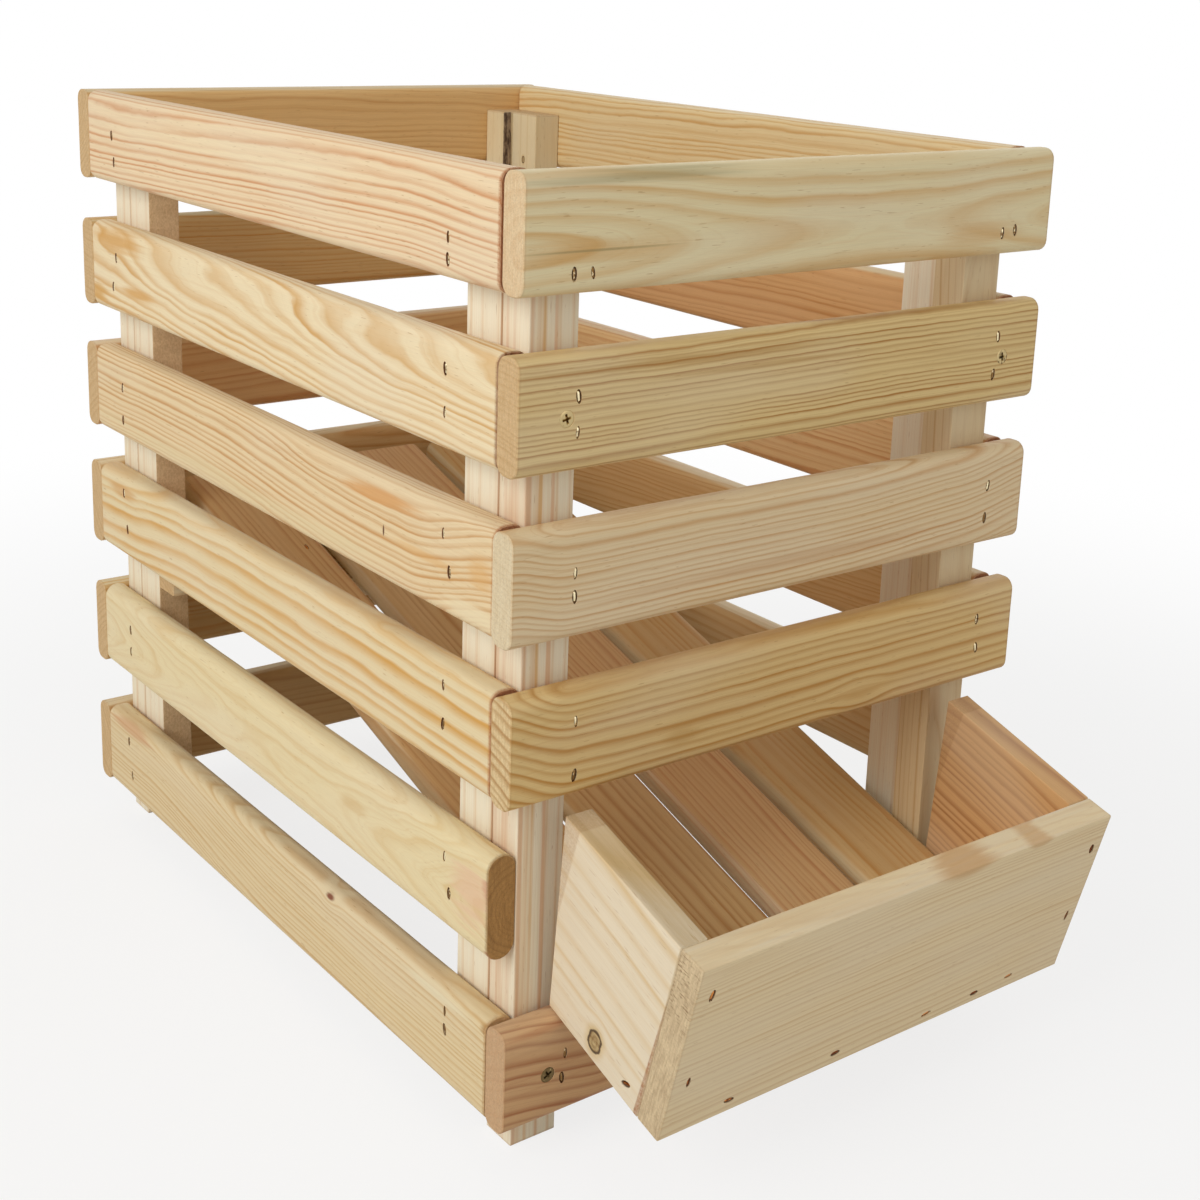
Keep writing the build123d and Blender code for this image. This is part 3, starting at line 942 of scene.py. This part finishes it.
figures = {
    "left_slat_1": {
        "tone": "rose", "pith": (25, -44), "lean": (0.02, 0.0), "ring": 1.6, "uneven": 1.0, "wander": 1.4,
        "wave": 210, "ripple": (0.3, 26), "late": 0.95, "curls": ((130, 215, -5.0),),
        "ends": ("rosy", "seared"),
        "patches": ((-40, 8, 200, 6, "#F0DDB6", 0.4),),
    },
    "left_slat_2": {
        "tone": "straw", "pith": (17, -24), "lean": (0.0, 0.07), "ring": 3.0, "wander": 2.6, "uneven": 1.2,
        "wave": 90, "ripple": (0.8, 24), "late": 0.95, "late width": 0.58, "ends": ("ringed", "striped"),
        "patches": ((-172, 17, 42, 7, "#D09A4C", 0.8), (-198, -15, 16, 9, "#CE9C50", 0.8),
                    (-143, -9, 26, 3.5, "#D09A4C", 0.8)),
    },
    "left_slat_3": {
        "tone": "honey", "pith": (44, -42), "lean": (0.0, 0.0), "ring": 2.1, "uneven": 1.2, "wander": 1.8,
        "wave": 130, "ripple": (0.5, 26), "late": 0.95, "late width": 0.55, "swirls": ((58, 27, 15, 6),),
        "curls": ((-90, 115, -13), (135, 218, 17)),
        "slits": ((117.5, 0, 0.8, 2.8),), "ends": ("sandy", "seared"),
        "patches": ((118, 15, 40, 4, "#D2934C", 0.75), (-40, -16, 200, 7, "#DDCB9E", 0.5),
                    (150, -2, 34, 3.4, "#D9A764", 0.5), (194, 2, 12, 9, "#D9A764", 0.55),
                    (188, -17, 30, 6, "#EAD9B2", 0.7)),
    },
    "left_slat_4": {
        "tone": "amber", "pith": (-90, -20), "lean": (-0.012, 0.0), "ring": 6.8, "wander": 3.2, "uneven": 1.2,
        "wave": 90, "ripple": (1.7, 34), "late": 1.0, "late width": 0.6, "curls": ((-240, -20, 15),),
        "ends": ("sandy", "seared"), "patches": ((-172, 15, 20, 5, "#C98F45", 0.55),),
    },
    "left_slat_5": {
        "tone": "lemon", "pith": (-2, -24), "lean": (0.0, 0.0), "bow": (0.0, 3.0), "ring": 2.7, "wander": 3.0,
        "wave": 80, "ripple": (1.2, 26), "late": 0.45, "ends": ("pale", "dark"),
        "patches": ((192, 2, 20, 16, "#E2B896", 0.65), (204, 9, 5, 7, "#C8876A", 0.5),
                    (205, -22, 4, 4, "#A8402C", 0.7), (90, 3, 14, 4, "#CDA566", 0.4)),
    },
    "left_slat_6": {
        "tone": "flax", "pith": (-60, -20), "lean": (-0.01, 0.0), "ring": 2.7, "wander": 2.2, "wave": 110,
        "ripple": (0.5, 20), "late": 0.8, "curls": ((-150, 20, -17),), "swirls": ((67, 21, 5, 3),),
        "patches": ((-175, 20, 30, 4, "#C07F52", 0.5), (165, 19, 35, 3, "#E6DAB8", 0.6),
                    (67, 21, 4.5, 1.8, "#7E3F24", 0.95), (206, 21, 7, 4, "#A2702C", 0.8)),
        "ends": ("rosy", "sandy"),
    },
    "front_slat_1": {
        "tone": "gold", "pith": (-6, -11.7), "lean": (0.0, -0.038), "bow": (0.0, 5.5), "ring": 6.0,
        "phase": 0.85, "uneven": 0.6, "wander": 2.0, "wave": 90, "ripple": (0.8, 30), "late": 0.85,
        "late width": 0.62, "ends": ("peach", "sandy"),
        "patches": ((-92, 21, 62, 3.2, "#8D8258", 0.5), (-118, -7, 44, 5.5, "#D3A564", 0.55),
                    (-115, -7, 40, 0.8, "#948454", 0.6), (105, -14, 30, 6, "#CE9A58", 0.4)),
    },
    "front_slat_2": {
        "tone": "brass", "pith": (-74, -12), "lean": (0.01, 0.0), "ring": 2.6, "wander": 2.2, "wave": 150,
        "late": 1.0, "ends": ("sandy", "sandy"),
        "patches": ((-60, 16, 110, 2.4, "#A9762F", 0.5), (-20, 10, 90, 1.6, "#A9762F", 0.4)),
    },
    "front_slat_3": {
        "tone": "honey", "pith": (-76, -20), "lean": (0.0, 0.0), "ring": 2.8, "wander": 2.0, "wave": 120,
        "late": 1.0, "curls": ((-150, -122, -5.0), (20, 160, 7.0), (105, 175, 9.0)),
        "ends": ("pale", "sandy"), "patches": ((0, -10, 120, 4, "#B9824E", 0.3),),
    },
    "front_slat_4": {
        "tone": "ochre", "pith": (-80, -24), "lean": (0.0, 0.0), "ring": 4.4, "wander": 2.4, "wave": 100,
        "ripple": (0.6, 24), "late": 0.9, "late width": 0.55, "curls": ((-162, -118, -14.0),),
        "swirls": ((46, -13, 9, 4),), "ends": ("ringed", "sandy"),
        "patches": ((-60, -10, 14, 6, "#B98A45", 0.4),),
    },
    "front_slat_6": {
        "tone": "rust", "pith": (60, -34), "lean": (0.0, 0.0), "bow": (2.2, 0.0), "ring": 4.6, "wander": 3.0,
        "wave": 90, "late": 0.9, "curls": ((-150, -96, -7.0),), "ends": ("rosy", "sandy"),
        "patches": ((-40, 21, 110, 2.4, "#A8603C", 0.45),),
    },
    "right_slat_1": {
        "tone": "straw", "pith": (44, 34), "lean": (-0.02, 0.0), "ring": 2.5, "uneven": 1.8, "late": 0.75,
    },
    "back_slat_1": {"tone": "wheat", "pith": (60, 56), "ring": 2.6, "late": 0.55},
    "hopper_front_board": {
        "tone": "blond", "pith": (-90, -30), "lean": (0.018, 0.0), "ring": 2.6, "wander": 2.4, "wave": 140,
        "late": 0.5, "ends": ("stroked", "pale"),
        "patches": ((0, 47.5, 300, 2.4, "#E0D8C6", 0.55), (28, 46, 19, 5, "#C08A48", 0.6),
                    (74, 46, 8, 4, "#C08A48", 0.5)),
    },
    "hopper_left_cheek": {
        "tone": "milk", "pith": (-130, -30), "lean": (-0.09, 0.0), "ring": 11.0, "wander": 3.2, "wave": 110,
        "ripple": (0.7, 30), "late": 0.7, "late width": 0.4, "knots": ((4.8, -35.7, 4.4, 5.4, 1.0),),
        "patches": ((0, 46.5, 300, 2.2, "#B59558", 0.5),), "ends": ("sandy", "seamed"),
    },
    "hopper_right_cheek": {
        "tone": "tan", "pith": (90, -30), "lean": (0.05, 0.0), "ring": 4.0, "wander": 4, "wave": 90,
        "late": 0.9,
    },
    "front_left_side_post": {"pith": (-46, -14), "lean": (0.004, 0.0), "seams": ((-12.8, 0.9),)},
    "front_left_post": {
        "pith": (50, -34), "lean": (0.006, 0.0),
        "patches": ((0, -10.5, 400, 1.8, "#D2A277", 0.7), (40, -4.5, 300, 1.6, "#D6A869", 0.8),
                    (-40, 1.5, 330, 1.6, "#D8A87C", 0.7)),
    },
    "back_left_side_post": {"pith": (-52, -16), "lean": (-0.004, 0.0), "seams": ((12.8, 0.9),)},
    "back_left_post": {"pith": (40, -40)},
    "front_right_side_post": {"pith": (44, -20), "late": 0.4},
    "front_right_post": {
        "tone": "wheat", "pith": (-8, 24), "lean": (0.02, 0.03), "bow": (1.2, 0.0), "ring": 4.0,
        "wander": 3.0, "wave": 120, "late": 0.7,
    },
    "back_right_side_post": {"pith": (46, -16), "tone": "pale", "knots": ((169, 0, 2.2, 1.4, 1.0),)},
    "back_right_post": {"pith": (-44, 30), "tone": "pale", "bark": (((0, -1, 0), -9, 3.4),)},
}

postFigure = {
    "tone": "post",
    "lean": (0.005, 0.0),
    "ring": 8.4,
    "wander": 1.8,
    "wave": 220,
    "ripple": (0.4, 40),
    "late": 0.6,
    "late width": 0.24,
}

insideShadeTones = {                             # painted shade and warm bounce light on the faces that look into the crate
    "back_slat_1": "#FDE6C2",
    "right_slat_1": "#F4EDDA",
    "right_slat_2": "#F8D8BA",
    "right_slat_3": "#FFF0D6",
    "others": "#EFDABC",
}

randomFigure = {
    "tones": ("honey", "straw", "amber", "rose", "wheat"),
    "pith across": (30, 90),
    "pith out": (-60, -12),
    "lean": (-0.05, 0.05),
    "ring": (2.6, 4.6),
    "wander": (2, 4),
    "wave": (80, 160),
    "late": (0.65, 0.9),
}

panelAxes = {                               # along a slat and out of its panel, as seen from outside
    "front": ((1, 0, 0), (0, -1, 0)),
    "back": ((-1, 0, 0), (0, 1, 0)),
    "left": ((0, -1, 0), (-1, 0, 0)),
    "right": ((0, 1, 0), (1, 0, 0)),
}


def drawnFigure(seed):
    drawn = random.Random(seed)
    side = drawn.choice((-1, 1))

    def pick(name):
        return drawn.uniform(*randomFigure[name])

    return {
        "tone": drawn.choice(randomFigure["tones"]),
        "pith": (side * pick("pith across"), pick("pith out")),
        "lean": (pick("lean"), pick("lean")),
        **{name: pick(name) for name in ("ring", "wander", "wave", "late")},
    }


def figureOf(node, kind, board, index):
    figure = figures.get(node) or drawnFigure(index)
    if "_post" in node:
        figure = postFigure | figure
    if node.startswith("right_slat"):
        figure = {"ends": ("seared", "sandy")} | figure
    if node.endswith("left_side_post"):
        inward = (0, 1, 0) if node.startswith("front") else (0, -1, 0)
        figure = figure | {"rough": (inward, (1, 0, 0))}
    if kind in ("slat", "roundSlat", "floor"):
        inward = board["axes"][2] if kind == "floor" else -board["axes"][2]
        figure = figure | {"inside": (insideShadeTones.get(node, insideShadeTones["others"]), inward)}
    return figure


def trayAxes():
    # The tray's slope is the direction it slides in
    down = Vector(frame["joints"][0]["axis"]).normalized()
    upSlope = -down
    return upSlope, Vector((1, 0, 0)).cross(upSlope)


def boardNormal():
    # The outward normal of the hopper's front board, its largest face that looks to the front
    mesh = frame["nodes"]["hopper_front_board"].data
    faces = [face for face in mesh.polygons if face.normal.y < -0.5]
    return max(faces, key=lambda face: face.area).normal.copy()


def boardPlan():
    # Every wooden node: its kind, record slot and body, and the ways that it runs and looks
    upSlope, trayUp = trayAxes()
    right, left = (1, 0, 0), (-1, 0, 0)
    singles = {
        "rear_bearer": ("post", "batten_pine", "crate", right, (0, -1, 0)),
        "tray_batten": ("hopper", "batten_pine", "tray", right, trayUp),
        "hopper_front_board": ("hopper", "hopper_pine", "tray", right, boardNormal()),
        "hopper_left_cheek": ("hopper", "hopper_pine", "tray", -upSlope, left),
        "hopper_right_cheek": ("hopper", "hopper_pine", "tray", upSlope, right),
    }
    plan = {}
    for node in sorted(frame["nodes"]):
        words = node.split("_")
        if node in singles:
            plan[node] = singles[node]
        elif node.startswith("tray_floor"):
            plan[node] = ("floor", "floor_pine", "tray", upSlope, trayUp)
        elif words[-1] == "post":
            plan[node] = ("post", "post_pine", "crate", (0, 0, 1), left if "side" in words else (0, 1, 0))
        elif words[-1] not in ("staples", "screws"):
            kind = "roundSlat" if node == "left_slat_5" else "slat"
            plan[node] = (kind, "slat_pine", "crate", *panelAxes[words[0]])
    return plan


def crateFasteners():
    # Crowns and screw heads in the crate, each with the way that it looks
    outs = {panel: Vector(out) for panel, (along, out) in panelAxes.items()}
    staples = {f"{panel}_slat_staples": out for panel, out in outs.items()}
    staples["bearer_staples"] = outs["front"]
    crowns = [
        (*crownOf(points, out), out) for node, out in staples.items() for points in separateSolids(node)
    ]
    heads = [
        (headOf(points, outs[panel]), outs[panel])
        for panel in ("front", "back") for points in separateSolids(f"{panel}_panel_screws")
    ]
    return crowns, heads


def trayCrowns():
    # The tray's one node of staples holds crowns that look several ways: each looks along its legs
    found = []
    for points in separateSolids("tray_staples"):
        side = -1 if sum(points, Vector()).x < 0 else 1
        ways = (boardNormal(), trayAxes()[1], Vector((side, 0, 0)))
        reaches = [high - low for low, high in (spanAlong(points, way) for way in ways)]
        out = ways[reaches.index(max(reaches))]
        found.append((*crownOf(points, out), out))
    return found


def cutsFor(board, crowns, heads):
    # The crowns and heads that stand in this board's outer face, in the board's own axes
    along, across, out = board["axes"]
    points, leans, screws = [], [], []
    for spot, run, way in [*crowns, *[(spot, None, way) for spot, way in heads]]:
        local = spot - board["middle"]
        x, y, z = local.dot(along), local.dot(across), local.dot(out)
        inside = abs(x) < board["length"] / 2 and abs(y) < board["height"] / 2
        if way.dot(out) > 0.99 and inside and abs(z - board["thickness"] / 2) < 1 * mm:
            points.append((x, y, board["thickness"] / 2))
            leans.append(atan2(-run.dot(along), run.dot(across)) if run else 0.0)
            screws.append(0.0 if run else 1.0)
    return points, leans, screws


def makeBoards(crowns, heads):
    tree = boardTree()
    made = []
    for index, (node, (kind, slotName, body, along, out)) in enumerate(boardPlan().items()):
        board = readBoard(node, along, out, index + 1)
        points, leans, screws = cutsFor(board, crowns[body], heads)
        board["edge round"] = boardShape["edge round"][kind]
        board["is cut"] = len(points) > 0
        piece = pointHolder(pieceName(node), points, lean=leans, screw=screws)
        material = pineMaterial(pieceName(node) + "Pine", board, figureOf(node, kind, board, index))
        setInputs(piece, tree, {
            "Length": board["length"], "Height": board["height"], "Thickness": board["thickness"],
            "Edge Round": board["edge round"] * mm, "Wobble": boardShape["wobble"][kind] * mm,
            "End Ease": boardShape["end ease"] * mm, "Row": boardShape["row"] * mm, "Seed": index * 3.7,
            "Start Slant": board["slants"][0], "End Slant": board["slants"][1], "Material": material,
            **{name: size * mm for name, size in cutShape.items()},
        })
        made.append((piece, board, node, slotName, body))
    for piece, board, node, slotName, body in made:
        turn = Matrix(board["axes"]).transposed().to_4x4()
        makePlain(piece, Matrix.Translation(board["middle"]) @ turn)
        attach(piece, body)
        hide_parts(node)
    print("boards made:", len(made))


# Staples and screws

stapleShape = {
    "Span": 5.1,                            # millimetres over the crown
    "Leg": 24.6,
    "Wire Width": 1.15,
    "Wire Thickness": 0.7,
    "Bend": 0.7,
}

screwShape = {
    "profile": (                            # (radius, depth) from the middle of the head to the tip
        (0, 0), (2.6, 0), (3.4, 0.05), (3.65, 0.25), (2.0, 1.9), (1.4, 3.0), (1.4, 44), (0, 50),
    ),
    "around": 24,
    "cross": {"width": 1.1, "length": 4.3, "depth": 1.8, "taper": 0.45},
}


def drivenIn(sheet, given, fastener):
    return sheet.add("GeometryNodeInstanceOnPoints", inputs={
        "Points": given["Geometry"], "Instance": fastener,
        "Rotation": namedValue(sheet, "turn", "FLOAT_VECTOR"),
    })


def stapleTree():
    # Flat wire bent round two corners, the crown's top at each given point
    tree, sheet, given = treeWithInputs("drivenStaples", stapleShape)
    fromMiddle = sheet.add("GeometryNodeInputIndex") - 1.5
    onTip = fromMiddle.size().over(1)
    side = fromMiddle / fromMiddle.size()
    reach = (given["Span"] - given["Wire Thickness"]) / 2
    corner = sheet.combine(0.0, side * reach, 0 - given["Wire Thickness"] / 2 - onTip * given["Leg"])
    line = sheet.add("GeometryNodeMeshLine", inputs={"Count": 4})
    line = sheet.add("GeometryNodeSetPosition", inputs={"Geometry": line, "Position": corner})
    path = sheet.add("GeometryNodeMeshToCurve", inputs={"Mesh": line})
    path = sheet.add("GeometryNodeFilletCurve", {"mode": "POLY"}, {
        "Curve": path, "Count": 2, "Radius": given["Bend"],
    })
    section = sheet.add("GeometryNodeCurvePrimitiveQuadrilateral", {"mode": "RECTANGLE"}, {
        "Width": given["Wire Width"], "Height": given["Wire Thickness"],
    })
    section = sheet.add("GeometryNodeFilletCurve", {"mode": "POLY"}, {
        "Curve": section, "Count": 1, "Radius": given["Wire Thickness"] * 0.25,
    })
    wire = sheet.add("GeometryNodeCurveToMesh", inputs={
        "Curve": path, "Profile Curve": section, "Fill Caps": True,
    })
    closeTree(sheet, drivenIn(sheet, given, smoothBelow(sheet, wire, sharpTurn["wire"])), given["Material"])
    return tree


def screwTree():
    # A profile turned round Z, with a tapered cross cut into its head
    tree, sheet, given = treeWithInputs("crossHeadScrews", ())
    profile = screwShape["profile"]
    width, depth = (max(point[side] for point in profile) for side in (0, 1))
    grid = sheet.add("GeometryNodeMeshGrid", inputs={
        "Size X": 1.0, "Size Y": 1.0, "Vertices X": screwShape["around"] + 1, "Vertices Y": len(profile),
    })
    place = sheet.add("GeometryNodeInputPosition").split()
    angle = place[0] * (-2 * pi)

    def alongProfile(side, largest):
        stops = [(index / (len(profile) - 1), point[side] / largest) for index, point in enumerate(profile)]
        return sheet.add("ShaderNodeValToRGB", {"stops": stops}, {"Fac": place[1] + 0.5}) * (largest * mm)

    radius = alongProfile(0, width)
    turned = sheet.combine(radius * angle.cosine(), radius * angle.sine(), 0 - alongProfile(1, depth))
    screw = sheet.add("GeometryNodeSetPosition", inputs={"Geometry": grid, "Position": turned})
    screw = sheet.add("GeometryNodeMergeByDistance", inputs={"Geometry": screw, "Distance": weld})

    cross = screwShape["cross"]
    bars = []
    for sides in ((cross["width"], cross["length"]), (cross["length"], cross["width"])):
        bar = sheet.add("GeometryNodeMeshCube", inputs={
            "Size": tuple(side * mm for side in (*sides, cross["depth"] * 2)),
        }, output="Mesh")
        spot = sheet.add("GeometryNodeInputPosition")
        narrow = spot.split()[2] * (cross["taper"] / (cross["depth"] * mm)) + 1
        tapered = spot.times(sheet.combine(narrow, narrow, 1.0))
        bars.append(sheet.add("GeometryNodeSetPosition", inputs={"Geometry": bar, "Position": tapered}))
    screw = smoothBelow(sheet, cutAway(sheet, screw, bars), sharpTurn["screw"])
    closeTree(sheet, drivenIn(sheet, given, screw), given["Material"])
    return tree


def turnTo(run, out):
    # The rotation that lays Y along run and Z along out
    return Vector(Matrix((run.cross(out), run, out)).transposed().to_euler())


def makeFasteners(crowns, heads):
    wires = stapleTree()
    sets = {
        "crateStaples": ("crate", "brassyWire", [
            *(f"{panel}_slat_staples" for panel in panelAxes), "bearer_staples",
        ]),
        "trayStaples": ("tray", "rustyWire", ["tray_staples"]),
    }
    made = []
    for name, (body, metal, nodes) in sets.items():
        turns = [turnTo(run, out) for spot, run, out in crowns[body]]
        piece = pointHolder(name, [spot for spot, run, out in crowns[body]], turn=turns)
        sizes = {size: length * mm for size, length in stapleShape.items()}
        setInputs(piece, wires, {**sizes, "Material": metalMaterial(metal)})
        made.append((piece, body, "staple_wire", nodes))
    drawn = random.Random(7)
    turns = []
    for spot, out in heads:
        angle = drawn.uniform(0, pi / 2)
        turns.append(turnTo(Vector((cos(angle), 0, sin(angle))), out))
    piece = pointHolder("panelScrews", [spot for spot, out in heads], turn=turns)
    setInputs(piece, screwTree(), {"Material": metalMaterial("screwZinc")})
    made.append((piece, "crate", "screw_zinc", ["front_panel_screws", "back_panel_screws"]))
    for piece, body, slotName, nodes in made:
        makePlain(piece)
        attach(piece, body)
        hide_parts(*nodes)
        print(piece.name, len(piece.data.polygons), "faces")


setCamera()
makeStage()
print("camera, stage and lamps set")

crateCrowns, screwHeads = crateFasteners()
allCrowns = {"crate": crateCrowns, "tray": trayCrowns()}
makeBoards(allCrowns, screwHeads)
makeFasteners(allCrowns, screwHeads)

bpy.context.scene.view_settings.view_transform = "Standard"
